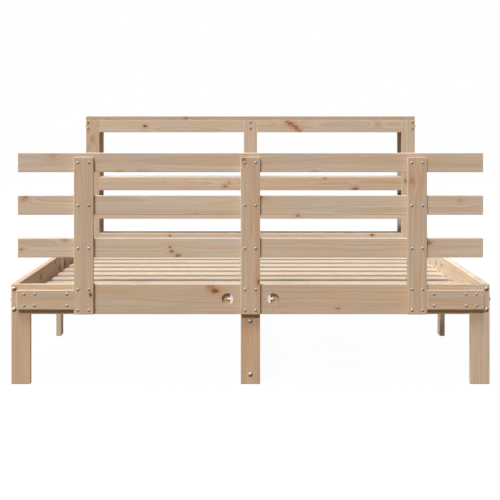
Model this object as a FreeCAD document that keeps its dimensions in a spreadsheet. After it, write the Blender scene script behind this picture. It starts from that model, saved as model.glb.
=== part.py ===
import FreeCAD, Part
import Sketcher
import os
import re

# Pine double bed frame with a slatted foot end and an open bookcase at the head.
# Millimetres, +Z up, +Y from the foot to the head, +X to the right seen from the foot.
# The origin is on the floor, in the middle of the bed's length and width.

doc = FreeCAD.newDocument("bed_frame")

# Driving sizes, in millimetres
SIZES = {
    # planed pine stock
    "board_thickness": 22,
    "board_width": 67,
    "rail_height": 104,
    "edge_radius": 2.5,
    "slat_edge_radius": 4,
    # the mattress that the frame holds, and the room left round it
    "mattress_width": 1600,
    "mattress_length": 2000,
    "width_play": 11,
    "length_play": 13,
    # height of the rails' top above the floor
    "frame_height": 346,
    # foot end
    "foot_board_top": 800,
    "foot_board_pitch": 147.5,
    "foot_board_inset": 22.5,
    "post_drop": 14.3,
    "post_length": 542,
    "post_inset": 253,
    "post_screw_spread": 18.5,
    "rail_screw_spread": 36,
    "splice_screw_rise": 20,
    "splice_leg_screw": 49.5,
    "splice_rail_screw": 85,
    "splice_post_screw": 23.5,
    # side legs' near face, from the foot end's outer face
    "side_leg_place": 1033,
    # slats and the strips that carry them
    "slat_width": 70,
    "slat_thickness": 18,
    "slat_first_gap": 4.5,
    "slat_last_gap": 18.5,
    "slat_end_gap": 15.5,
    "slat_screw_inset": 9,
    "ledger_height": 28,
    "ledger_width": 33,
    # bookcase at the head
    "bookcase_depth": 204,
    "bookcase_height": 944.8,
    "top_thickness": 18,
    "top_rail_height": 63,
    "shelf_top": 638.7,
    "shelf_thickness": 18,
    "lower_board_drop": 143.2,
    "head_rail_top": 357,
    "back_rail_top": 350,
    "low_tie_bottom": 80,
    "tie_bolt_spread": 15.2,
    "top_tie_bolt_rise": 4.2,
    # dome-headed bolts and the barrel nuts that they pull on
    "bolt_radius": 4,
    "bolt_hole_play": 0.3,
    "bolt_head_radius": 8,
    "bolt_head_height": 4.5,
    "bolt_bite": 50,
    "socket_radius": 3.2,
    "socket_depth": 3,
    "barrel_radius": 5,
    "barrel_length": 16,
    "barrel_reach": 42,
    "barrel_play": 0.1,
    # threaded rods and half-moon nuts at the middle legs
    "rod_radius": 4,
    "pocket_radius": 20.5,
    "pocket_reach": 45.3,
    "pocket_depth": 17,
    "moon_height": 11,
    "moon_thickness": 12,
    "moon_play": 0.3,
    # round-headed screws
    "screw_radius": 2.2,
    "screw_hole_play": 0.1,
    "screw_head_radius": 5,
    "screw_head_height": 2.6,
    "screw_bite": 17,
    "cross_length": 5.2,
    "cross_width": 1.1,
    "cross_depth": 1.5,
    # flat-headed screws, sunk flush
    "flush_radius": 1.8,
    "flush_head_radius": 4,
    "flush_head_height": 2.5,
    "flush_bite": 14,
    # beech dowels
    "dowel_radius": 4,
    "dowel_play": 0.1,
    "dowel_reach": 15,
    "dowel_spread": 18,
    "top_dowel_place": 10,
    "dowel_end_play": 0.5,
}

SLAT_COUNT = 13
# Gaps between slats, counted from the foot, over which each ledger is screwed to its rail
LEDGER_SCREW_GAPS = (0, 2, 4, 7, 9, 11)
SIDES = {"left": -1, "right": 1}
FOOT_ROWS = {"top": 0, "middle": 1, "bottom": 2}

# Places worked out from the sizes
PLACES = {
    "bolt_ball": "(bolt_head_radius * bolt_head_radius / bolt_head_height + bolt_head_height) / 2",
    "bolt_crest": "bolt_head_height - bolt_ball + sqrt(bolt_ball * bolt_ball - 3 * socket_radius * socket_radius / 4)",
    "half_width": "mattress_width / 2 + width_play / 2 + board_thickness",
    "inner_half": "half_width - board_thickness",
    "head_reach": "board_thickness + mattress_length + length_play",
    "foot_face": "(board_thickness + screw_head_height - head_reach - bookcase_depth - bolt_crest) / 2",
    "rail_start": "foot_face + board_thickness",
    "post_face": "foot_face - board_thickness",
    "head_face": "foot_face + head_reach",
    "head_inner": "head_face + board_thickness",
    "head_back": "head_face + bookcase_depth",
    "back_inner": "head_back - board_thickness",
    "side_leg_start": "foot_face + side_leg_place",
    "side_leg_end": "side_leg_start + board_width",
    "side_leg_middle": "side_leg_start + board_width / 2",
    "rail_bottom": "frame_height - rail_height",
    "rail_middle": "frame_height - rail_height / 2",
    "post_top": "foot_board_top - post_drop",
    "board_half": "half_width - foot_board_inset",
    "post_offset": "half_width - post_inset",
    "post_outer": "post_offset + board_width / 2",
    "slat_bottom": "rail_bottom + ledger_height",
    "slat_first": "rail_start + slat_first_gap + slat_width / 2",
    "slat_last": "head_face - slat_last_gap - slat_width / 2",
    "slat_pitch": f"(slat_last - slat_first) / {SLAT_COUNT - 1}",
    "slat_screw_line": "inner_half - slat_end_gap - slat_screw_inset",
    "beam_bottom": "slat_bottom - rail_height",
    "beam_middle": "slat_bottom - rail_height / 2",
    "floor_beam_middle": "board_width / 2",
    "rail_line": "half_width - board_thickness / 2",
    "case_top": "bookcase_height - top_thickness",
    "tie_top": "shelf_top - shelf_thickness",
    "lower_board_top": "shelf_top - lower_board_drop",
    "pocket_line": "board_width / 2 + pocket_reach",
    "bolt_hole": "bolt_radius + bolt_hole_play",
    "rod_hole": "rod_radius + bolt_hole_play",
    "barrel_hole": "barrel_radius + barrel_play",
    "barrel_depth": "barrel_length + barrel_play",
    "screw_hole": "screw_radius + screw_hole_play",
    "flush_hole": "flush_radius + screw_hole_play",
    "flush_sink": "flush_head_radius + screw_hole_play",
    "dowel_hole": "dowel_radius + dowel_play",
    "dowel_depth": "dowel_reach + dowel_end_play",
}

sizes = doc.addObject("Spreadsheet::Sheet", "sizes")
for row, (alias, number) in enumerate(SIZES.items(), start=1):
    sizes.set(f"A{row}", alias)
    sizes.set(f"B{row}", str(number))
    sizes.setAlias(f"B{row}", alias)
doc.recompute()

places = doc.addObject("Spreadsheet::Sheet", "places")


def formula(text):
    """The text with each size or place named through the sheet that holds it."""
    def full(match):
        word = match.group(0)
        if word in SIZES:
            return f"sizes.{word}"
        if word in PLACES:
            return f"places.{word}"
        return word
    return re.sub(r"[a-z_]+", full, text)


for row, (alias, text) in enumerate(PLACES.items(), start=1):
    places.set(f"A{row}", alias)
    places.set(f"B{row}", "=" + formula(text).replace("places.", ""))
    places.setAlias(f"B{row}", alias)
    doc.recompute()


def number(text):
    """The value of a formula, as a plain number of millimetres or degrees."""
    result = sizes.evalExpression(formula(text))
    return float(getattr(result, "Value", result))


def bind(item, **formulas):
    """Ties properties to formulas; two underscores in a name stand for a dot."""
    for name, text in formulas.items():
        item.setExpression(name.replace("__", "."), formula(text))


def put(item, x, y, z):
    """Places an object with its own origin at a point given by formulas."""
    bind(item, Placement__Base__x=x, Placement__Base__y=y, Placement__Base__z=z)


class Plank:
    """A squared board with eased edges: its body, its lowest corner and its three sizes."""

    def __init__(self, label, corner, size, edge="edge_radius"):
        self.body = doc.addObject("PartDesign::Body", label)
        self.body.Label = label
        self.corner = corner
        self.size = size
        length, width, height = size
        outline = self.sketch("XY_Plane", "outline")
        across, along = number(length), number(width)
        points = ((0, 0), (across, 0), (across, along), (0, along))
        for index in range(len(points)):
            start, end = points[index], points[(index + 1) % len(points)]
            outline.addGeometry(Part.LineSegment(FreeCAD.Vector(*start, 0), FreeCAD.Vector(*end, 0)))
        for index in range(len(points)):
            following = (index + 1) % len(points)
            outline.addConstraint(Sketcher.Constraint("Coincident", index, 2, following, 1))
        for index, way in enumerate(("Horizontal", "Vertical", "Horizontal", "Vertical")):
            outline.addConstraint(Sketcher.Constraint(way, index))
        outline.addConstraint(Sketcher.Constraint("Coincident", 0, 1, -1, 1))
        self.dimension(outline, Sketcher.Constraint("DistanceX", 0, 1, 0, 2, across), length)
        self.dimension(outline, Sketcher.Constraint("DistanceY", 1, 1, 1, 2, along), width)
        pad = self.body.newObject("PartDesign::Pad", label + "_pad")
        pad.Profile = outline
        bind(pad, Length=height)
        doc.recompute()
        easing = self.body.newObject("PartDesign::Fillet", label + "_easing")
        easing.Base = (pad, [""])
        easing.UseAllEdges = True
        bind(easing, Radius=edge)
        put(self.body, *corner)
        doc.recompute()

    def sketch(self, plane, suffix):
        """A sketch on one of the body's own origin planes."""
        item = self.body.newObject("Sketcher::SketchObject", f"{self.body.Label}_{suffix}")
        origin = [part for part in self.body.Origin.OriginFeatures if part.Role == plane][0]
        item.AttachmentSupport = [(origin, "")]
        item.MapMode = "FlatFace"
        return item

    @staticmethod
    def dimension(sketch, constraint, text):
        """Adds a sized constraint whose value follows a formula."""
        index = sketch.addConstraint(constraint)
        sketch.setExpression(f"Constraints[{index}]", formula(text))

    def drill(self, face, spots, radius, depth):
        """Bores round holes into one face, at points of the bed given by formulas."""
        plane, first, second, lift, reverse = {
            "front": ("XZ_Plane", 0, 2, None, False),
            "back": ("XZ_Plane", 0, 2, "-1 * ({})".format(self.size[1]), True),
            "left": ("YZ_Plane", 1, 2, None, True),
            "right": ("YZ_Plane", 1, 2, self.size[0], False),
            "top": ("XY_Plane", 0, 1, self.size[2], False),
            "bottom": ("XY_Plane", 0, 1, None, True),
        }[face]
        before = self.body.Shape.Volume
        count = len(self.body.Group)
        holes = self.sketch(plane, f"holes_{count}")
        if lift:
            holes.setExpression("AttachmentOffset.Base.z", formula(lift))
        for spot in spots:
            u = f"{spot[first]} - ({self.corner[first]})"
            v = f"{spot[second]} - ({self.corner[second]})"
            centre = FreeCAD.Vector(number(u), number(v), 0)
            circle = holes.addGeometry(Part.Circle(centre, FreeCAD.Vector(0, 0, 1), number(radius)))
            self.dimension(holes, Sketcher.Constraint("DistanceX", -1, 1, circle, 3, centre.x), u)
            self.dimension(holes, Sketcher.Constraint("DistanceY", -1, 1, circle, 3, centre.y), v)
            self.dimension(holes, Sketcher.Constraint("Radius", circle, number(radius)), radius)
        pocket = self.body.newObject("PartDesign::Pocket", f"{self.body.Label}_bore_{count}")
        pocket.Profile = holes
        pocket.Reversed = reverse
        bind(pocket, Length=depth)
        doc.recompute()
        if self.body.Shape.Volume >= before:
            raise ValueError(f"{self.body.Label}: a bore on its {face} face cuts nothing")


def side_place(sign, near, far):
    """Lowest x of a piece that lies between two distances from the middle, on one side."""
    return near if sign > 0 else f"-1 * ({far})"


pieces = {}
screws = []
flush_screws = []
bolts = []
barrels = []
rods = []
moons = []
dowels = []


def add(plank):
    """Lists a finished board under its label, to be written out."""
    pieces[plank.body.Label] = plank.body
    return plank


# Foot end: three legs, flush with the two half rails between them
foot_legs = {}
for side, sign in SIDES.items():
    foot_legs[side] = Plank(
        f"foot_leg_{side}",
        (side_place(sign, "half_width - board_width", "half_width"), "foot_face", "0"),
        ("board_width", "board_thickness", "frame_height"),
    )
foot_legs["centre"] = Plank(
    "foot_leg_centre",
    ("-1 * board_width / 2", "foot_face", "0"),
    ("board_width", "board_thickness", "frame_height"),
)

foot_rails = {}
for side, sign in SIDES.items():
    foot_rails[side] = Plank(
        f"foot_rail_{side}",
        (side_place(sign, "board_width / 2", "half_width - board_width"), "foot_face", "rail_bottom"),
        ("half_width - 3 * board_width / 2", "board_thickness", "rail_height"),
    )

# A long bolt goes through each corner leg's width into the end of its half rail
foot_line = "foot_face + board_thickness / 2"
for side, sign in SIDES.items():
    outer = "left" if sign < 0 else "right"
    inner = "right" if sign < 0 else "left"
    head = (f"{sign} * half_width", foot_line, "rail_middle")
    foot_legs[side].drill(outer, [head], "bolt_hole", "board_width")
    foot_rails[side].drill(outer, [head], "bolt_hole", "bolt_bite")
    nut = (f"{sign} * (half_width - board_width - barrel_reach)", "rail_start", "rail_middle")
    foot_rails[side].drill("back", [nut], "barrel_hole", "barrel_depth")
    bolts.append((head, (sign, 0, 0), "board_width + bolt_bite"))
    barrels.append((nut, (0, 1, 0), (1, 0, 0)))
    # the other end is drawn to the centre leg by half a threaded rod and a half-moon nut
    pocket = (f"{sign} * pocket_line", foot_line, "rail_middle")
    foot_rails[side].drill("front", [pocket], "pocket_radius", "pocket_depth")
    foot_rails[side].drill(inner, [pocket], "rod_hole", "pocket_reach - pocket_radius / 2")
    moons.append((pocket, (-sign, 0, 0), (0, 1, 0)))
rod_middle = ("-1 * board_width / 2", foot_line, "rail_middle")
foot_legs["centre"].drill("left", [rod_middle], "rod_hole", "board_width")
rods.append((("-1 * pocket_line", foot_line, "rail_middle"), (1, 0, 0)))

# Three rows of half boards stand over the foot rail, in line with it
foot_boards = {}
for row, index in FOOT_ROWS.items():
    low = f"foot_board_top - board_width - {index} * foot_board_pitch"
    for side, sign in SIDES.items():
        foot_boards[row, side] = Plank(
            f"foot_board_{row}_{side}",
            (side_place(sign, "0", "board_half"), "foot_face", low),
            ("board_half", "board_thickness", "board_width"),
        )

# Three posts and two short splice boards are screwed on from outside
foot_posts = {}
for side, sign in {"left": -1, "centre": 0, "right": 1}.items():
    post = Plank(
        f"foot_post_{side}",
        (f"{sign} * post_offset - board_width / 2", "post_face", "post_top - post_length"),
        ("board_width", "board_thickness", "post_length"),
    )
    foot_posts[side] = post
    for half, step in SIDES.items():
        line = f"{sign} * post_offset + {step} * post_screw_spread"
        board_side = side if sign else half
        for row, index in FOOT_ROWS.items():
            spot = (line, "post_face", f"foot_board_top - board_width / 2 - {index} * foot_board_pitch")
            screws.append((spot, (0, -1, 0)))
            post.drill("front", [spot], "screw_hole", "board_thickness")
            foot_boards[row, board_side].drill("front", [spot], "screw_hole", "screw_bite")
        carrier = foot_rails[side] if sign else foot_legs["centre"]
        for step_up in SIDES.values():
            spot = (line, "post_face", f"rail_middle + {step_up} * rail_screw_spread")
            screws.append((spot, (0, -1, 0)))
            post.drill("front", [spot], "screw_hole", "board_thickness")
            carrier.drill("front", [spot], "screw_hole", "screw_bite")

foot_splices = {}
for side, sign in SIDES.items():
    splice = Plank(
        f"foot_splice_{side}",
        (side_place(sign, "post_outer", "board_half"), "post_face", "rail_middle - board_width / 2"),
        ("board_half - post_outer", "board_thickness", "board_width"),
    )
    foot_splices[side] = splice
    for distance, carrier in (
        ("half_width - splice_leg_screw", foot_legs[side]),
        ("half_width - splice_rail_screw", foot_rails[side]),
        ("post_outer + splice_post_screw", foot_rails[side]),
    ):
        for step_up in SIDES.values():
            spot = (f"{sign} * ({distance})", "post_face", f"rail_middle + {step_up} * splice_screw_rise")
            screws.append((spot, (0, -1, 0)))
            splice.drill("front", [spot], "screw_hole", "board_thickness")
            carrier.drill("front", [spot], "screw_hole", "screw_bite")

# Side rails in two lengths, joined at a leg between the foot and the head
side_rails = {}
side_legs = {}
for side, sign in SIDES.items():
    edge = side_place(sign, "inner_half", "half_width")
    side_rails[side, "foot"] = Plank(
        f"side_rail_{side}_foot",
        (edge, "rail_start", "rail_bottom"),
        ("board_thickness", "side_leg_start - rail_start", "rail_height"),
    )
    side_rails[side, "head"] = Plank(
        f"side_rail_{side}_head",
        (edge, "side_leg_end", "rail_bottom"),
        ("board_thickness", "head_face - side_leg_end", "rail_height"),
    )
    side_legs[side] = Plank(
        f"side_leg_{side}",
        (edge, "side_leg_start", "0"),
        ("board_thickness", "board_width", "frame_height"),
    )
    line = f"{sign} * rail_line"
    inner = "right" if sign < 0 else "left"
    inner_face = f"{sign} * inner_half"
    for end, way, joint in (("foot", -1, "back"), ("head", 1, "front")):
        pocket = (inner_face, f"side_leg_middle + {way} * pocket_line", "rail_middle")
        side_rails[side, end].drill(inner, [pocket], "pocket_radius", "pocket_depth")
        side_rails[side, end].drill(
            joint, [(line, pocket[1], "rail_middle")], "rod_hole", "pocket_reach - pocket_radius / 2"
        )
        moons.append(((line, pocket[1], "rail_middle"), (0, -way, 0), (1, 0, 0)))
    side_legs[side].drill("front", [(line, "side_leg_start", "rail_middle")], "rod_hole", "board_width")
    rods.append(((line, "side_leg_middle - pocket_line", "rail_middle"), (0, 1, 0)))
    # two bolts hold each corner, through the foot leg's face
    for step_up in SIDES.values():
        height = f"rail_middle + {step_up} * rail_screw_spread"
        head = (line, "foot_face", height)
        foot_legs[side].drill("front", [head], "bolt_hole", "board_thickness")
        side_rails[side, "foot"].drill("front", [head], "bolt_hole", "bolt_bite")
        nut = (inner_face, "rail_start + barrel_reach", height)
        side_rails[side, "foot"].drill(inner, [nut], "barrel_hole", "barrel_depth")
        bolts.append((head, (0, -1, 0), "board_thickness + bolt_bite"))
        barrels.append((nut, (-sign, 0, 0), (0, 1, 0)))

# Two beams along the middle, one under the slats and one on the floor, and a leg that joins them half way
BEAMS = {
    "centre_beam": ("beam_bottom", "rail_height", "beam_middle", "rail_screw_spread"),
    "floor_beam": ("0", "board_width", "floor_beam_middle", "post_screw_spread"),
}
beam_leg = Plank(
    "centre_beam_leg",
    ("board_thickness / 2", "side_leg_start", "0"),
    ("board_thickness", "board_width", "slat_bottom"),
)
centre_beams = {}
for label, (bottom, height, middle, spread) in BEAMS.items():
    beam = Plank(
        label,
        ("-1 * board_thickness / 2", "rail_start", bottom),
        ("board_thickness", "head_face - rail_start", height),
    )
    centre_beams[label] = beam
    head = ("0", "foot_face", middle)
    foot_legs["centre"].drill("front", [head], "bolt_hole", "board_thickness")
    beam.drill("front", [head], "bolt_hole", "bolt_bite")
    bolts.append((head, (0, -1, 0), "board_thickness + bolt_bite"))
    near_nut = ("board_thickness / 2", "rail_start + barrel_reach", middle)
    far_nut = ("board_thickness / 2", "head_face - barrel_reach", middle)
    beam.drill("right", [near_nut, far_nut], "barrel_hole", "barrel_depth")
    for nut in (near_nut, far_nut):
        barrels.append((nut, (1, 0, 0), (0, 1, 0)))
    for step_up in SIDES.values():
        spot = ("3 * board_thickness / 2", "side_leg_middle", f"{middle} + {step_up} * {spread}")
        screws.append((spot, (1, 0, 0)))
        beam_leg.drill("right", [spot], "screw_hole", "board_thickness")
        beam.drill("right", [spot], "screw_hole", "screw_bite")

# Ledgers along the side rails, and the slats across them
ledgers = {}
for side, sign in SIDES.items():
    ledger = Plank(
        f"slat_ledger_{side}",
        (side_place(sign, "inner_half - ledger_width", "inner_half"), "rail_start", "rail_bottom"),
        ("ledger_width", "head_face - rail_start", "ledger_height"),
    )
    ledgers[side] = ledger
    inner = "right" if sign < 0 else "left"
    for gap in LEDGER_SCREW_GAPS:
        share = gap + 0.5
        spot = (
            f"{sign} * (inner_half - ledger_width)",
            f"slat_first + {share} * slat_pitch",
            "rail_bottom + ledger_height / 2",
        )
        flush_screws.append((spot, (-sign, 0, 0), "ledger_width"))
        ledger.drill(inner, [spot], "flush_hole", "ledger_width")
        ledger.drill(inner, [spot], "flush_sink", "flush_head_height")
        end = "foot" if gap < SLAT_COUNT / 2 else "head"
        side_rails[side, end].drill(inner, [spot], "flush_hole", "flush_bite")

slats = []
for index in range(SLAT_COUNT):
    middle = f"slat_first + {index} * slat_pitch"
    slat = Plank(
        f"slat_{index + 1}",
        ("-1 * (inner_half - slat_end_gap)", f"{middle} - slat_width / 2", "slat_bottom"),
        ("2 * (inner_half - slat_end_gap)", "slat_width", "slat_thickness"),
        "slat_edge_radius",
    )
    slats.append(slat)
    spots = [(f"{sign} * slat_screw_line", middle, "slat_bottom") for sign in SIDES.values()]
    slat.drill("top", spots, "flush_hole", "slat_thickness")
    slat.drill("top", spots, "flush_sink", "flush_head_height")
    for spot, side in zip(spots, SIDES):
        ledgers[side].drill("top", [spot], "flush_hole", "flush_bite")
        head = (spot[0], spot[1], "slat_bottom + slat_thickness")
        flush_screws.append((head, (0, 0, 1), "slat_thickness"))

# Bookcase: three posts in front and three behind, from the floor to the top boards
case_posts = {}
for row, start in (("front", "head_face"), ("back", "back_inner")):
    for side, sign in {"left": -1, "centre": 0, "right": 1}.items():
        case_posts[row, side] = Plank(
            f"case_{row}_post_{side}",
            (f"{sign} * (half_width - board_width / 2) - board_width / 2", start, "0"),
            ("board_width", "board_thickness", "case_top"),
        )

# Boards between the posts: four rows in front, two behind
CASE_BOARDS = {
    "case_top_rail": ("front", "case_top", "top_rail_height"),
    "case_shelf_board": ("front", "shelf_top", "board_width"),
    "case_lower_board": ("front", "lower_board_top", "board_width"),
    "case_head_rail": ("front", "head_rail_top", "rail_height"),
    "case_back_top_rail": ("back", "case_top", "top_rail_height"),
    "case_back_rail": ("back", "back_rail_top", "board_width"),
}
case_boards = {}
for label, (row, top, height) in CASE_BOARDS.items():
    start = "head_face" if row == "front" else "back_inner"
    line = f"{start} + board_thickness / 2"
    middle = f"{top} - {height} / 2"
    inside = "back" if row == "front" else "front"
    inside_face = "head_inner" if row == "front" else "back_inner"
    way_in = 1 if row == "front" else -1
    for side, sign in SIDES.items():
        outer = "left" if sign < 0 else "right"
        inner = "right" if sign < 0 else "left"
        board = Plank(
            f"{label}_{side}",
            (side_place(sign, "board_width / 2", "half_width - board_width"), start, f"{top} - {height}"),
            ("half_width - 3 * board_width / 2", "board_thickness", height),
        )
        case_boards[label, side] = board
        head = (f"{sign} * half_width", line, middle)
        case_posts[row, side].drill(outer, [head], "bolt_hole", "board_width")
        board.drill(outer, [head], "bolt_hole", "bolt_bite")
        bolts.append((head, (sign, 0, 0), "board_width + bolt_bite"))
        nut = (f"{sign} * (half_width - board_width - barrel_reach)", inside_face, middle)
        board.drill(inside, [nut], "barrel_hole", "barrel_depth")
        barrels.append((nut, (0, way_in, 0), (1, 0, 0)))
        pegs = [
            (f"{sign} * board_width / 2", line, f"{middle} + {step_up} * dowel_spread")
            for step_up in SIDES.values()
        ]
        board.drill(inner, pegs, "dowel_hole", "dowel_depth")
        case_posts[row, "centre"].drill(outer, pegs, "dowel_hole", "dowel_depth")
        for peg in pegs:
            dowels.append((peg, (1, 0, 0)))

# Ties join each front post to the post behind it: at the top, under the shelf and low down
CASE_TIES = {
    "top": ("case_top", "top_rail_height", "top_tie_bolt_rise", (-1, 1)),
    "shelf": ("tie_top", "board_width", "0", (0,)),
    "low": ("low_tie_bottom + board_width", "board_width", "0", (0,)),
}
case_ties = {"left": [], "centre": [], "right": []}
for side, sign in {"left": -1, "centre": 0, "right": 1}.items():
    line = f"{sign} * rail_line"
    open_side = "left" if sign > 0 else "right"
    open_way = -1 if sign > 0 else 1
    open_face = f"{line} + {open_way} * board_thickness / 2"
    for label, (top, height, rise, steps) in CASE_TIES.items():
        tie = Plank(
            f"tie_{label}_{side}",
            (f"{line} - board_thickness / 2", "head_inner", f"{top} - {height}"),
            ("board_thickness", "back_inner - head_inner", height),
        )
        case_ties[side].append(tie)
        for step in steps:
            middle = f"{top} - {height} / 2 + {rise} + {step} * tie_bolt_spread"
            for row, face, way, at, nut_at in (
                ("front", "front", -1, "head_face", "head_inner + barrel_reach"),
                ("back", "back", 1, "head_back", "back_inner - barrel_reach"),
            ):
                head = (line, at, middle)
                case_posts[row, side].drill(face, [head], "bolt_hole", "board_thickness")
                tie.drill(face, [head], "bolt_hole", "bolt_bite")
                bolts.append((head, (0, way, 0), "board_thickness + bolt_bite"))
                nut = (open_face, nut_at, middle)
                tie.drill(open_side, [nut], "barrel_hole", "barrel_depth")
                barrels.append((nut, (open_way, 0, 0), (0, 1, 0)))

# The side rails and the beams are bolted to the bookcase from inside it
for side, sign in SIDES.items():
    line = f"{sign} * rail_line"
    inner = "right" if sign < 0 else "left"
    for step_up in SIDES.values():
        height = f"rail_middle + {step_up} * rail_screw_spread"
        head = (line, "head_inner", height)
        case_posts["front", side].drill("back", [head], "bolt_hole", "board_thickness")
        side_rails[side, "head"].drill("back", [head], "bolt_hole", "bolt_bite")
        nut = (f"{sign} * inner_half", "head_face - barrel_reach", height)
        side_rails[side, "head"].drill(inner, [nut], "barrel_hole", "barrel_depth")
        bolts.append((head, (0, 1, 0), "board_thickness + bolt_bite"))
        barrels.append((nut, (-sign, 0, 0), (0, 1, 0)))
for label, (bottom, height, middle, spread) in BEAMS.items():
    tail = ("0", "head_inner", middle)
    case_posts["front", "centre"].drill("back", [tail], "bolt_hole", "board_thickness")
    centre_beams[label].drill("back", [tail], "bolt_hole", "bolt_bite")
    bolts.append((tail, (0, 1, 0), "board_thickness + bolt_bite"))

# Shelf boards lie on the ties, top boards on the posts, which carry them on dowels
case_shelves = {}
case_tops = {}
for side, sign in SIDES.items():
    case_shelves[side] = Plank(
        f"case_shelf_{side}",
        (side_place(sign, "0", "half_width"), "head_inner", "tie_top"),
        ("half_width", "back_inner - head_inner", "shelf_thickness"),
    )
    case_tops[side] = Plank(
        f"case_top_{side}",
        (side_place(sign, "0", "half_width"), "head_face", "case_top"),
        ("half_width", "bookcase_depth", "top_thickness"),
    )
    for row, line in (
        ("front", "head_face + board_thickness / 2"),
        ("back", "back_inner + board_thickness / 2"),
    ):
        for post, distance in (
            (side, "half_width - board_width / 2"),
            ("centre", "top_dowel_place"),
        ):
            peg = (f"{sign} * ({distance})", line, "case_top")
            case_posts[row, post].drill("top", [peg], "dowel_hole", "dowel_depth")
            case_tops[side].drill("bottom", [peg], "dowel_hole", "top_thickness / 2 + dowel_end_play")
            dowels.append((peg, (0, 0, 1)))

# Metal pieces are turned and pressed: one master of each kind, and copies of it in place


def vector(spot):
    """The point that three formulas give."""
    return FreeCAD.Vector(*[number(text) for text in spot])


def turned(shape, spot, rotation):
    """A copy of a shape, turned and then moved to a point given by formulas."""
    copy = shape.copy()
    copy.Placement = FreeCAD.Placement(vector(spot), rotation).multiply(shape.Placement)
    return copy


def facing(way):
    """The rotation that points a master's +Z along a direction."""
    return FreeCAD.Rotation(FreeCAD.Vector(0, 0, 1), FreeCAD.Vector(*way))


def across(bore, axis):
    """The rotation that points a master's +X along one direction and its +Z along another."""
    return FreeCAD.Rotation(FreeCAD.Vector(*bore), FreeCAD.Vector(0, 0, 0), FreeCAD.Vector(*axis), "XZY")


def dome(label, radius, height):
    """A shallow cap of a ball on the plane z = 0, as high and as wide as the formulas say."""
    cap = doc.addObject("Part::Sphere", label)
    ball = f"({radius} * {radius} + {height} * {height}) / (2 * {height})"
    bind(cap, Radius=ball, Angle1=f"asin(1 - {height} / ({ball}))", Placement__Base__z=f"{height} - {ball}")
    return cap


def stem(label, radius, length):
    """A round bar from the plane z = 0 downwards."""
    bar = doc.addObject("Part::Cylinder", label)
    bind(bar, Radius=radius, Height=length, Placement__Base__z=f"-1 * ({length})")
    return bar


def joined(label, *parts):
    """The parts made into one solid."""
    whole = doc.addObject("Part::MultiFuse", label)
    whole.Shapes = list(parts)
    return whole


def less(label, base, tool):
    """The base with the tool cut away."""
    rest = doc.addObject("Part::Cut", label)
    rest.Base = base
    rest.Tool = tool
    return rest


def bolt_master(label, length):
    """A dome-headed bolt with a hexagon socket, its head's underside on z = 0."""
    head = dome(label + "_head", "bolt_head_radius", "bolt_head_height")
    whole = joined(label + "_blank", head, stem(label + "_stem", "bolt_radius", length))
    socket = doc.addObject("Part::Prism", label + "_socket")
    bind(
        socket,
        Circumradius="socket_radius",
        Height="bolt_head_height",
        Placement__Base__z="bolt_head_height - socket_depth",
    )
    return less(label, whole, socket)


def group(label, shapes):
    """A node of separate solids."""
    item = doc.addObject("Part::Feature", label)
    item.Label = label
    item.Shape = Part.makeCompound(shapes)
    item.Placement = FreeCAD.Placement()
    pieces[label] = item


lengths = sorted({length for _, _, length in bolts})
bolt_masters = {length: bolt_master(f"bolt_master_{index}", length) for index, length in enumerate(lengths)}

screw_head = dome("screw_head", "screw_head_radius", "screw_head_height")
screw_stem = stem("screw_stem", "screw_radius", "board_thickness + screw_bite")
screw_blank = joined("screw_blank", screw_head, screw_stem)
recess_arms = []
for index, (arm, width) in enumerate((("cross_length", "cross_width"), ("cross_width", "cross_length"))):
    slot = doc.addObject("Part::Box", f"recess_arm_{index}")
    bind(slot, Length=arm, Width=width, Height="screw_head_height")
    put(slot, f"-1 * {arm} / 2", f"-1 * {width} / 2", "screw_head_height - cross_depth")
    recess_arms.append(slot)
screw_master = less("screw_master", screw_blank, joined("recess", *recess_arms))

flush_masters = {}
for index, grip in enumerate(sorted({grip for _, _, grip in flush_screws})):
    flush_head = stem(f"flush_head_{index}", "flush_head_radius", "flush_head_height")
    flush_stem = stem(f"flush_stem_{index}", "flush_radius", f"{grip} + flush_bite")
    flush_masters[grip] = joined(f"flush_master_{index}", flush_head, flush_stem)

barrel_blank = stem("barrel_blank", "barrel_radius", "barrel_length")
barrel_thread = doc.addObject("Part::Cylinder", "barrel_thread")
bind(barrel_thread, Radius="bolt_radius + barrel_play", Height="4 * barrel_radius")
barrel_thread.Placement.Rotation = FreeCAD.Rotation(FreeCAD.Vector(0, 1, 0), 90)
put(barrel_thread, "-2 * barrel_radius", "0", "-1 * board_thickness / 2")
barrel_master = less("barrel_master", barrel_blank, barrel_thread)

moon_disc = doc.addObject("Part::Cylinder", "moon_disc")
bind(moon_disc, Radius="pocket_radius - moon_play", Height="moon_thickness")
put(moon_disc, "0", "0", "-1 * moon_thickness / 2")
moon_waste = doc.addObject("Part::Box", "moon_waste")
bind(moon_waste, Length="2 * pocket_radius", Width="2 * pocket_radius", Height="2 * moon_thickness")
put(moon_waste, "-1 * pocket_radius - moon_height", "-1 * pocket_radius", "-1 * moon_thickness")
moon_thread = doc.addObject("Part::Cylinder", "moon_thread")
bind(moon_thread, Radius="rod_radius + barrel_play", Height="2 * pocket_radius")
moon_thread.Placement.Rotation = FreeCAD.Rotation(FreeCAD.Vector(0, 1, 0), 90)
moon_master = less("moon_master", less("moon_blank", moon_disc, moon_waste), moon_thread)

rod_master = doc.addObject("Part::Cylinder", "rod_master")
bind(rod_master, Radius="rod_radius", Height="2 * pocket_line")

dowel_master = doc.addObject("Part::Cylinder", "dowel_master")
bind(dowel_master, Radius="dowel_radius", Height="2 * dowel_reach")
put(dowel_master, "0", "0", "-1 * dowel_reach")
top_dowel_master = doc.addObject("Part::Cylinder", "top_dowel_master")
bind(top_dowel_master, Radius="dowel_radius", Height="dowel_reach + top_thickness / 2")
put(top_dowel_master, "0", "0", "-1 * dowel_reach")
doc.recompute()

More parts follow.
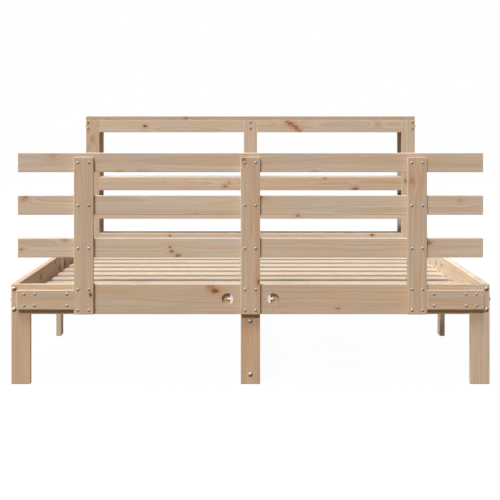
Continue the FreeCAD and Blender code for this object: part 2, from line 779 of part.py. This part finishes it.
group("frame_bolts", [turned(bolt_masters[size].Shape, spot, facing(way)) for spot, way, size in bolts])
group("barrel_nuts", [turned(barrel_master.Shape, spot, across(bore, way)) for spot, way, bore in barrels])
group("threaded_rods", [turned(rod_master.Shape, spot, facing(way)) for spot, way in rods])
group("half_moon_nuts", [turned(moon_master.Shape, spot, across(to, axis)) for spot, to, axis in moons])
group("round_head_screws", [turned(screw_master.Shape, spot, facing(way)) for spot, way in screws])
group("flush_screws", [turned(flush_masters[grip].Shape, spot, facing(way)) for spot, way, grip in flush_screws])
group("dowels", [
    turned((top_dowel_master if way[2] else dowel_master).Shape, spot, facing(way)) for spot, way in dowels
])

# Wooden nodes: single boards, and the slats and ties as groups of boards
for family in (foot_legs, foot_rails, foot_boards, foot_posts, foot_splices, side_rails, side_legs,
               centre_beams, ledgers, case_posts, case_boards, case_shelves, case_tops):
    for plank in family.values():
        add(plank)
add(beam_leg)


def bundle(label, planks):
    """A node of several boards that stay separate solids."""
    item = doc.addObject("Part::Compound", label)
    item.Label = label
    item.Links = [plank.body for plank in planks]
    pieces[label] = item


bundle("slats", slats)
for side, planks in case_ties.items():
    bundle(f"case_ties_{side}", planks)
doc.recompute()

# Nothing is written unless every feature and every piece is sound
for item in doc.Objects:
    if "Invalid" in item.State or "Error" in item.State:
        raise ValueError(f"{item.Name}: {item.State}")
for label, item in pieces.items():
    if item.Shape.isNull() or not item.Shape.isValid():
        raise ValueError(f"{label}: its shape is not sound")

os.makedirs("parts", exist_ok=True)
for label, item in pieces.items():
    item.Shape.exportStep(f"parts/{label}.step")
box = FreeCAD.BoundBox()
for item in pieces.values():
    box.add(item.Shape.BoundBox)
print(len(pieces), "nodes", sum(len(item.Shape.Solids) for item in pieces.values()), "solids")
print("box", [round(v, 2) for v in (box.XMin, box.YMin, box.ZMin, box.XMax, box.YMax, box.ZMax)])
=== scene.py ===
import math
import random

import bpy
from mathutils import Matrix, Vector


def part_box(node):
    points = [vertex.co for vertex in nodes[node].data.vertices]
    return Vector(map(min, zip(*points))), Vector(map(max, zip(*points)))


# A pine double bed frame with a slatted foot end and a bookcase at the head, in its studio
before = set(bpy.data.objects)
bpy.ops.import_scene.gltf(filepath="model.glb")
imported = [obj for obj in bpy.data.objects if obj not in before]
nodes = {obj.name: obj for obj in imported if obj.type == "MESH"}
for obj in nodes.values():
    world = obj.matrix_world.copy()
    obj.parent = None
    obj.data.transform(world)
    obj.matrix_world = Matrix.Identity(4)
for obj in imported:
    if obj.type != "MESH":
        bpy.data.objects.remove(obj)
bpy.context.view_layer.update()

# Foot legs: three planed pine boards on end, 67 by 22 mm, that stand on the floor.
# The outer two are bolted to the side rails and the foot rail, and the middle one joins the rail's halves.
FOOT_LEGS = {
    "foot_leg_left": {"tone": (0.94, 0.86, 0.78), "warmth": 0.35},
    "foot_leg_centre": {"tone": (0.91, 0.81, 0.7), "warmth": 0.7},
    "foot_leg_right": {"tone": (0.92, 0.92, 0.93), "warmth": 0.2},
}


def paint(red, green, blue):
    """The linear colour of an sRGB colour given from 0 to 255."""
    shades = [shade / 255 for shade in (red, green, blue)]
    return [shade / 12.92 if shade <= 0.04045 else ((shade + 0.055) / 1.055) ** 2.4 for shade in shades] + [1]


class Number:
    """A number that changes over a surface; arithmetic on it adds Math nodes to its material."""

    def __init__(self, finish, socket):
        self.finish = finish
        self.socket = socket

    def maths(self, operation, *values):
        """The result of a Math node on this number and others."""
        node = self.finish.add("ShaderNodeMath", {"operation": operation}, dict(enumerate(values)))
        return Number(self.finish, node.outputs[0])

    def __add__(self, other):
        return self.maths("ADD", self, other)

    def __sub__(self, other):
        return self.maths("SUBTRACT", self, other)

    def __mul__(self, other):
        return self.maths("MULTIPLY", self, other)

    def __truediv__(self, other):
        return self.maths("DIVIDE", self, other)

    def __radd__(self, other):
        return self.maths("ADD", other, self)

    def __rsub__(self, other):
        return self.maths("SUBTRACT", other, self)

    def __rmul__(self, other):
        return self.maths("MULTIPLY", other, self)

    def __rtruediv__(self, other):
        return self.maths("DIVIDE", other, self)

    def __pow__(self, other):
        return self.maths("POWER", self, other)

    def __abs__(self):
        return self.maths("ABSOLUTE", self)

    def at_most(self, limit):
        """The number, or the limit where the number is above it."""
        return self.maths("MINIMUM", self, limit)

    def part(self):
        """The part after the decimal point."""
        return self.maths("FRACT", self)

    def floor(self):
        """The whole number below."""
        return self.maths("FLOOR", self)

    def step(self, low, high):
        """Nought below low, one above high, and a smooth rise between."""
        sockets = {"Value": self, "From Min": low, "From Max": high}
        node = self.finish.add("ShaderNodeMapRange", {"interpolation_type": "SMOOTHSTEP"}, sockets)
        return Number(self.finish, node.outputs[0])


class Finish:
    """A material, or the world, under construction: its nodes and its shader."""

    def __init__(self, owner, shader="Principled BSDF"):
        owner.use_nodes = True
        self.owner = owner
        self.tree = owner.node_tree
        self.shader = self.tree.nodes[shader]
        self.place = self.add("ShaderNodeTexCoord", {}, {})

    def add(self, kind, settings, sockets):
        """A node of a kind, with its settings and the values or links of its sockets."""
        node = self.tree.nodes.new(kind)
        for setting, value in settings.items():
            setattr(node, setting, value)
        for socket, value in sockets.items():
            self.set(node.inputs[socket], value)
        return node

    def set(self, socket, value):
        """Links a socket to a number or an output, or gives it a plain value."""
        if isinstance(value, Number):
            value = value.socket
        if isinstance(value, bpy.types.NodeSocket):
            self.tree.links.new(value, socket)
        else:
            socket.default_value = value

    def mix(self, share, first, second):
        """The colour that share of the way leads from the first to the second."""
        sockets = {"Factor": share, 6: first, 7: second}
        return self.add("ShaderNodeMix", {"data_type": "RGBA"}, sockets).outputs[2]

    def axes(self, vector):
        """The three numbers of a vector."""
        node = self.add("ShaderNodeSeparateXYZ", {}, {0: vector})
        return [Number(self, output) for output in node.outputs]

    def noise(self, place, scale, detail):
        """Smooth random numbers round a half, for three numbers that give the place."""
        vector = self.add("ShaderNodeCombineXYZ", {}, dict(enumerate(place)))
        sockets = {"Vector": vector.outputs[0], "Scale": scale, "Detail": detail}
        return Number(self, self.add("ShaderNodeTexNoise", {}, sockets).outputs[0])


RING_WIDTH = 0.0042
PITH_NEAREST = 0.035
PITH_FARTHEST = 0.075
KNOT_SWELLING = 0.012
KNOT_STRETCH = 1.6
END_GRAIN_LOSS = 0.22
EARLY_WOOD = paint(219, 196, 171)
LATE_WOOD = paint(192, 155, 120)
PINK_STREAK = paint(204, 166, 138)
YELLOW_STREAK = paint(220, 197, 164)
COOL_STREAK = paint(198, 186, 173)
AMBER_STREAK = paint(214, 176, 132)
SANDED_EDGE_AND_HIGHLIGHT = paint(238, 222, 200)
KNOT_HEART = paint(112, 58, 36)
KNOT_HALO = paint(188, 124, 76)
PLAIN_TONE = (0.96, 1, 1.04)
WARM_TONE = (0.9, 0.88, 0.85)


def pine(node, tone=PLAIN_TONE, warmth=0.3, knots=(), along=None, repeat=None):
    """Planed, unfinished pine on one board, or on a row of like boards a repeat apart.

    The grain is the distance from a pith that runs beside the board, bent by slow noise and by knots.
    Tone is the share of red, green and blue that the board keeps.
    Each knot is (along, across, radius, darkness), from the board's middle, in millimetres but for darkness.
    """
    low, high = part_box(node)
    sides = [high[axis] - low[axis] for axis in range(3)]
    middle = [(high[axis] + low[axis]) / 2 for axis in range(3)]
    if along is None:
        along = sides.index(max(sides))
    others = [axis for axis in range(3) if axis != along]
    wide, thin = sorted(others, key=lambda axis: -sides[axis])
    if repeat:
        wide, thin = repeat["wide"], repeat["thin"]
    chance = random.Random(node)
    finish = Finish(bpy.data.materials.new(node + "_pine"))
    place = finish.axes(finish.place.outputs["Object"])
    length = place[along] - middle[along]
    start = length + chance.uniform(1, 50)
    width = place[wide] - middle[wide]
    depth = place[thin] - middle[thin]
    if repeat:
        board = (place[wide] / repeat["pitch"] + repeat["start"]).floor()
        own = finish.add("ShaderNodeTexWhiteNoise", {"noise_dimensions": "1D"}, {"W": board})
        own_number = Number(finish, own.outputs[0])
        width = place[wide] - (board + 0.5 - repeat["start"]) * repeat["pitch"]
        start = length + own_number * 30

    # the pith lies beside the board, and the log tapers a little along it
    pith_wide = chance.uniform(-0.02, 0.02)
    pith_deep = chance.choice((-1, 1)) * chance.uniform(PITH_NEAREST, PITH_FARTHEST)
    lean = chance.uniform(-0.02, 0.02)
    if repeat:
        pith_wide = own_number * 0.05 - 0.025
    sway = finish.noise((start * 1.1, width * 5, depth * 5), 1.0, 2.0) - 0.5
    beside = width - pith_wide + lean * length + sway * 0.03
    below = depth - pith_deep
    rings = (beside * beside + below * below) ** 0.5 + sway * 0.014

    # knots push the rings aside and show a dark heart in a warm halo
    heart = halo = 0
    if knots:
        ragged = finish.noise((length * 110, width * 200, depth * 20), 1.0, 3.0) * 1.5 + 0.25
    for knot_along, knot_across, radius, darkness in knots:
        far = (length - knot_along / 1000) / KNOT_STRETCH
        side = width - knot_across / 1000
        reach = (far * far + side * side) ** 0.5 / (radius / 1000)
        rings = rings + KNOT_SWELLING / (1 + reach * reach)
        torn = reach * ragged
        heart = heart + (1 - torn.step(0.3, 0.9)) * darkness
        halo = halo + (0.45 + 0.4 * darkness) / (1 + torn * torn * torn)
    growth = (rings / RING_WIDTH).part()
    late = growth ** 2.5 * (1 - growth.step(0.93, 1.0))
    fibre = finish.noise((start * 9, width * 420, depth * 420), 1.0, 2.0)
    streak = finish.noise((start * 0.9, width * 34, depth * 34), 1.0, 3.0)
    tinge = finish.noise((start * 5 + 7, width * 55, depth * 55), 1.0, 3.0)
    pore = finish.noise((start * 60, width * 1500, depth * 1500), 1.0, 1.0)
    colour = finish.mix(late * 0.65, EARLY_WOOD, LATE_WOOD)
    colour = finish.mix(streak.step(0.48, 0.75) * (0.35 + warmth), colour, PINK_STREAK)
    colour = finish.mix(streak.step(0.52, 0.25) * 0.5, colour, YELLOW_STREAK)
    colour = finish.mix(tinge.step(0.5, 0.72) * 0.6, colour, COOL_STREAK)
    colour = finish.mix((1 - tinge).step(0.5, 0.72) * 0.45, colour, AMBER_STREAK)
    colour = finish.mix(fibre.step(0.45, 0.8) * 0.35, colour, LATE_WOOD)
    if knots:
        colour = finish.mix(halo.at_most(0.75), colour, KNOT_HALO)
        colour = finish.mix(heart.at_most(1.0), colour, KNOT_HEART)

    # end grain drinks in more dirt and looks darker, and the eased edges are sanded pale and also carry a
    # painted highlight
    normal = [abs(number) for number in finish.axes(finish.place.outputs["Normal"])]
    pale_and_highlit_edge = (normal[0] + normal[1] + normal[2]).step(1.1, 1.35)
    colour = finish.mix(pale_and_highlit_edge * 0.85, colour, SANDED_EDGE_AND_HIGHLIGHT)
    shade = 1 - END_GRAIN_LOSS * normal[along].step(0.6, 0.95)
    if repeat:
        shade = shade * (0.96 + 0.05 * own_number)
    kept = finish.add("ShaderNodeCombineColor", {}, {part: shade * share for part, share in enumerate(tone)})
    sockets = {"Factor": 1.0, 6: colour, 7: kept.outputs[0]}
    colour = finish.add("ShaderNodeMix", {"data_type": "RGBA", "blend_type": "MULTIPLY"}, sockets)
    finish.set(finish.shader.inputs["Base Color"], colour.outputs[2])
    finish.set(finish.shader.inputs["Roughness"], 0.62 - late * 0.12 + fibre * 0.1)
    height = late * 0.5 + fibre * 0.3 + pore * 0.2
    bump = finish.add("ShaderNodeBump", {}, {"Strength": 0.35, "Distance": 0.0004, "Height": height})
    finish.set(finish.shader.inputs["Normal"], bump.outputs[0])
    finish.shader.inputs["Specular IOR Level"].default_value = 0.2
    show(node, finish)


def show(node, finish):
    """Gives a CAD node a finish in all its material slots."""
    mesh = nodes[node].data
    mesh.materials.clear()
    mesh.materials.append(finish.owner)


for leg, looks in FOOT_LEGS.items():
    pine(leg, **looks)

# Foot rails: two half boards of pine, 104 mm high, between the legs. Each has a round pocket near the middle
# for the half-moon nut of the threaded rod that draws it to the centre leg.
FOOT_RAILS = {
    "foot_rail_left": ((275, 28, 12, 0.7), (258, 43, 9, 0.1)),
    "foot_rail_right": ((-94, -32, 5, 0.4),),
}
for rail, knots in FOOT_RAILS.items():
    pine(rail, WARM_TONE, knots=knots)

# Foot boards: three rows of two half boards of planed pine over the rail, screwed to the posts.
# They meet end to end behind the centre post and run out past the outer posts.
FOOT_BOARDS = {
    "foot_board_top_left": {"knots": (
        (-283, 22, 9, 0), (-52, -33, 5, 0.6), (-40, -34, 4, 0.4),
        (8, -35, 5, 0.3), (22, -35, 6, 0.3), (38, -35, 6, 0.2), (52, -34, 4, 0.2),
    )},
    "foot_board_top_right": {"knots": ((-180, -33, 6, 0.2),)},
    "foot_board_middle_left": {"knots": ((-382, 20, 9, 0.1), (-374, 29, 5, 0.5), (211, -33, 4, 0.7))},
    "foot_board_middle_right": {"knots": ((-364, 27, 9, 0.1), (-238, -34, 4, 0.9), (322, 16, 7, 0))},
    "foot_board_bottom_left": {"knots": (
        (-389, -6, 4, 0.7), (-238, 26, 7, 0.2), (125, 2, 3.5, 0.9), (130, -13, 5, 0.8), (152, -27, 7, 0.6),
    )},
    "foot_board_bottom_right": {"warmth": 0.15, "knots": ((212, 18, 10, 0.5),)},
}
for board, looks in FOOT_BOARDS.items():
    pine(board, **looks)

# Foot posts and splices: three upright pine boards and two short level ones, screwed on from outside
# with pairs of round-headed screws.
FOOT_POSTS = {
    "foot_post_left": ((-203, 25, 6, 1.0),),
    "foot_post_centre": ((264, -22, 11, 0.4), (-158, 30, 8, 0.8)),
    "foot_post_right": ((189, -18, 11, 0.1),),
    "foot_splice_left": (),
    "foot_splice_right": (),
}
for post, knots in FOOT_POSTS.items():
    pine(post, WARM_TONE, 0.55, knots)

# Side rails: on each side two lengths of 104 mm pine board with a leg between them, drawn together
# by a threaded rod through the leg and a half-moon nut in each rail.
# the left rails' darker, warmer tone is painted shade for their inner face, which faces away from the lamps
LEFT_RAIL_SHADED_TONE = (0.87, 0.79, 0.72)
RIGHT_RAIL_TONE = (1.01, 1.06, 1.06)
SIDE_RAILS = {
    "side_rail_left_foot": (LEFT_RAIL_SHADED_TONE, 0.4, ((-24, 18, 13, 0.9), (345, 38, 9, 0.7), (240, -20, 8, 0.4))),
    "side_rail_left_head": (LEFT_RAIL_SHADED_TONE, 0.4, ((-420, 30, 9, 0.8),)),
    "side_rail_right_foot": (RIGHT_RAIL_TONE, 0.1, ((120, 20, 8, 0.2), (-300, -18, 7, 0.2))),
    "side_rail_right_head": (RIGHT_RAIL_TONE, 0.1, ((-200, 10, 8, 0.3),)),
}
for rail, looks in SIDE_RAILS.items():
    pine(rail, *looks)
for side in ("left", "right"):
    pine(f"side_leg_{side}")

# Centre beams: one pine board on edge under the slats and one on the floor, bolted at both ends to the
# foot leg and the bookcase, with a leg of the same board screwed to their side half way along.
pine("centre_beam")
pine("floor_beam")
pine("centre_beam_leg")

# Slats: thirteen thin pine boards across the bed, screwed down onto a ledger along each side rail.
# The boards of one row share a finish that gives each its own stretch of grain.
SLAT_COUNT = 13
slats_low, slats_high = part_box("slats")
slat_width = 0.070
slat_pitch = (slats_high[1] - slats_low[1] - slat_width) / (SLAT_COUNT - 1)
slats_start = slats_low[1] + slat_width / 2 - slat_pitch / 2
pine("slats", (0.88, 0.91, 0.94), along=0, repeat={
    "wide": 1, "thin": 2, "pitch": slat_pitch, "start": -slats_start / slat_pitch,
})
for side in ("left", "right"):
    pine(f"slat_ledger_{side}")

# Bookcase: three pine posts in front and three behind, bolted and dowelled to the half boards between them,
# with short ties from front to back, a shelf in two halves and a top in two halves.
CASE_TOP_TONE = (0.82, 0.81, 0.82)
CASE_BOARDS = {
    "case_front_post_left": {"tone": (0.92, 0.91, 0.88), "warmth": 0.5, "knots": ((364, 0, 14, 0.1),)},
    "case_front_post_centre": {"warmth": 0.1},
    "case_front_post_right": {"knots": ((155, -14, 8, 0.5),)},
    "case_back_post_left": {},
    "case_back_post_centre": {},
    "case_back_post_right": {},
    "case_top_rail_left": {"knots": ((-133, 0, 8, 0.9),)},
    "case_top_rail_right": {"knots": (
        (-212, 22, 7, 0.4), (-200, 12, 9, 0.6), (-190, 14, 6, 0.4), (-182, 2, 8, 0.5), (-168, -4, 7, 0.4),
        (-164, -12, 8, 0.5), (-150, -24, 9, 0.4), (245, 8, 8, 0.05),
    )},
    "case_shelf_board_left": {"knots": ((269, -14, 9, 0.4), (290, 2, 6, 0.2))},
    "case_shelf_board_right": {"tone": WARM_TONE, "warmth": 0.45, "knots": (
        (-22, 28, 6, 0.4), (134, -26, 9, 0.8), (118, -30, 7, 0.5),
    )},
    "case_lower_board_left": {"warmth": 0.15},
    "case_lower_board_right": {"knots": ((-158, -19, 6, 0.7),)},
    "case_head_rail_left": {"knots": ((-8, 37, 6, 0.6),)},
    "case_head_rail_right": {"knots": ((215, 42, 8, 0.8),)},
    "case_back_top_rail_left": {},
    "case_back_top_rail_right": {},
    "case_back_rail_left": {},
    "case_back_rail_right": {},
    "case_shelf_left": {"knots": ((120, 20, 9, 0.6),)},
    "case_shelf_right": {"knots": ((-240, -30, 8, 0.5),)},
    "case_top_left": {"tone": CASE_TOP_TONE, "knots": ((90, -98, 7, 0.8), (-220, 30, 9, 0.6))},
    "case_top_right": {"tone": CASE_TOP_TONE, "knots": ((210, 10, 9, 0.7), (-150, -60, 7, 0.4))},
}
for board, looks in CASE_BOARDS.items():
    pine(board, **looks)
for side in ("left", "centre", "right"):
    pine(f"case_ties_{side}", along=1, repeat={"wide": 2, "thin": 0, "pitch": 0.25, "start": 0.0})

# Hardware: zinc-plated steel bolts, barrel nuts, threaded rods, half-moon nuts and screws, all of them
# bought parts, with fine tumbling marks and duller patches in the plating.
ZINC = paint(178, 170, 156)
DULL_ZINC = paint(148, 139, 125)
SHADED_RIM_ZINC = paint(80, 64, 50)
YELLOW_ZINC = paint(184, 158, 130)
PALE_ZINC = paint(226, 214, 204)


def zinc(node, roughness, rim_shade=0, plate=ZINC):
    """Zinc plate on steel, duller in patches that slow noise picks.

    Painted shade darkens the lower right of the foot end's heads, where their shadow falls, and the
    bookcase's heads are yellowish and matt.
    """
    finish = Finish(bpy.data.materials.new(node + "_zinc"))
    place = finish.axes(finish.place.outputs["Object"])
    patch = finish.noise(place, 160.0, 3.0)
    marks = finish.noise(place, 1400.0, 2.0)
    rough = roughness + patch * 0.15
    colour = finish.mix(patch.step(0.45, 0.7) * 0.6, plate, DULL_ZINC)
    if rim_shade:
        # painted shade: the side of each head that faces down and right, away from the lamps, is darkened in
        # its colour
        normal = finish.axes(finish.place.outputs["Normal"])
        shaded_rim = (0.5 * normal[0] - 0.7 * normal[2]).step(-0.45, 0.25)
        bookcase = place[1].step(0.5, 0.6)
        colour = finish.mix(shaded_rim * rim_shade, colour, SHADED_RIM_ZINC)
        colour = finish.mix(bookcase * 0.9, colour, YELLOW_ZINC)
        rough = rough + bookcase * 0.35
    finish.set(finish.shader.inputs["Base Color"], colour)
    finish.shader.inputs["Metallic"].default_value = 1.0
    finish.set(finish.shader.inputs["Roughness"], rough)
    bump = finish.add("ShaderNodeBump", {}, {"Strength": 0.2, "Distance": 0.0001, "Height": marks})
    finish.set(finish.shader.inputs["Normal"], bump.outputs[0])
    show(node, finish)


zinc("frame_bolts", 0.42, 0.85)
zinc("round_head_screws", 0.5, 0.75)
zinc("flush_screws", 0.35)
zinc("barrel_nuts", 0.35)
zinc("threaded_rods", 0.35, plate=PALE_ZINC)
zinc("half_moon_nuts", 0.4, plate=PALE_ZINC)

# Dowels: turned beech pegs inside the joints of the foot boards and the bookcase,
# closer and plainer in grain than the pine, and tapped into blind bores.
BEECH = paint(196, 158, 118)
BEECH_FLECK = paint(164, 122, 84)
beech = Finish(bpy.data.materials.new("dowels_beech"))
beech_place = beech.axes(beech.place.outputs["Object"])
fleck = beech.noise(beech_place, 900.0, 2.0)
beech.set(beech.shader.inputs["Base Color"], beech.mix(fleck.step(0.5, 0.7), BEECH, BEECH_FLECK))
beech.set(beech.shader.inputs["Roughness"], 0.5 + fleck * 0.2)
show("dowels", beech)

# Studio: a wide level floor that looks pure white to the camera and still takes a faint shadow.
# Towards the bed it gives back only a little warm light, so that undersides stay dark.
FLOOR_HALF = 14.0
FLOOR_GLOW = 0.965
FLOOR_SEEN = (0.95, 0.95, 0.95, 1)
FLOOR_BOUNCE = (0.17, 0.12, 0.08, 1)


def white_glow(finish):
    """One where a ray comes from the camera, a mirror or glass, and nought elsewhere."""
    path = finish.add("ShaderNodeLightPath", {}, {})
    seen = Number(finish, path.outputs["Is Camera Ray"])
    glossy = Number(finish, path.outputs["Is Glossy Ray"])
    through = Number(finish, path.outputs["Is Transmission Ray"])
    return (seen + glossy + through).at_most(1.0)


floor_mesh = bpy.data.meshes.new("studio_floor")
floor_corners = [(x * FLOOR_HALF, y * FLOOR_HALF, 0) for x, y in ((-1, -1), (1, -1), (1, 1), (-1, 1))]
floor_mesh.from_pydata(floor_corners, [], [(0, 1, 2, 3)])
floor = bpy.data.objects.new("studio_floor", floor_mesh)
bpy.context.scene.collection.objects.link(floor)
floor_finish = Finish(bpy.data.materials.new("studio_white"))
floor_colour = floor_finish.mix(white_glow(floor_finish), FLOOR_BOUNCE, FLOOR_SEEN)
floor_finish.set(floor_finish.shader.inputs["Base Color"], floor_colour)
floor_finish.shader.inputs["Roughness"].default_value = 0.9
glow = floor_finish.add("ShaderNodeEmission", {}, {"Color": (1, 1, 1, 1), "Strength": 1.0})
blend = floor_finish.add("ShaderNodeMixShader", {}, {
    0: white_glow(floor_finish) * FLOOR_GLOW, 1: floor_finish.shader.outputs[0], 2: glow.outputs[0],
})
floor_output = floor_finish.tree.nodes["Material Output"]
floor_finish.set(floor_output.inputs[0], blend.outputs[0])
floor_mesh.materials.append(floor_finish.owner)

# World: soft fill from all round, and plain white behind the object for the camera
# and for what shows in polished metal.
FILL = 0.045
world = bpy.data.worlds.new("studio")
bpy.context.scene.world = world
sky = Finish(world, "Background")
sky.set(sky.shader.inputs["Color"], (1, 1, 1, 1))
sky.set(sky.shader.inputs["Strength"], white_glow(sky) * (1 - FILL) + FILL)

# Lamps: far lights, a key from in front and a little left, one from the left, a soft one nearly overhead,
# and two faint ones that open up the back and the right side. Each has the way from the bed towards it,
# its strength and the angle that it fills, in degrees.
LAMPS = {
    "key": {"way": (-5.5, -22, 16), "strength": 1.7, "angle": 10, "colour": (1, 1, 1)},
    "left": {"way": (-8.5, 0.3, 5), "strength": 2.5, "angle": 20, "colour": (1, 1, 1)},
    "overhead": {"way": (-1, -4, 10), "strength": 1.65, "angle": 20, "colour": (0.93, 0.97, 1)},
    "behind": {"way": (0.5, 20, 9), "strength": 0.8, "angle": 40, "colour": (1, 1, 1)},
    "right": {"way": (20, 4, 7), "strength": 0.25, "angle": 40, "colour": (1, 1, 1)},
}
for name, lamp in LAMPS.items():
    light = bpy.data.lights.new(name, "SUN")
    light.color = lamp["colour"]
    light.energy = lamp["strength"]
    light.angle = math.radians(lamp["angle"])
    holder = bpy.data.objects.new(name, light)
    bpy.context.scene.collection.objects.link(holder)
    holder.rotation_euler = Vector(lamp["way"]).to_track_quat("Z", "Y").to_euler()

# Camera: level, on the bed's middle line, a little under the bookcase's top, and shifted down
# so that uprights stay upright. The distance is from the foot rails' front face.
foot_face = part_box("foot_rail_left")[0][1]
CAMERA_DISTANCE = 4.47
CAMERA_HEIGHT = 0.8868
PICTURE = 500
FOCAL_PIXELS = 1292.9
HORIZON_ROW = 127.7
MIDDLE_COLUMN = 250.4
camera_data = bpy.data.cameras.new("camera")
camera_data.sensor_width = 36
camera_data.lens = FOCAL_PIXELS / PICTURE * camera_data.sensor_width
camera_data.shift_x = (PICTURE / 2 - MIDDLE_COLUMN) / PICTURE
camera_data.shift_y = (HORIZON_ROW - PICTURE / 2) / PICTURE
camera_data.clip_end = 100
camera = bpy.data.objects.new("camera", camera_data)
camera.location = (0, foot_face - CAMERA_DISTANCE, CAMERA_HEIGHT)
camera.rotation_euler = (math.pi / 2, 0, 0)
bpy.context.scene.collection.objects.link(camera)
bpy.context.scene.camera = camera
bpy.context.scene.view_settings.view_transform = "Standard"
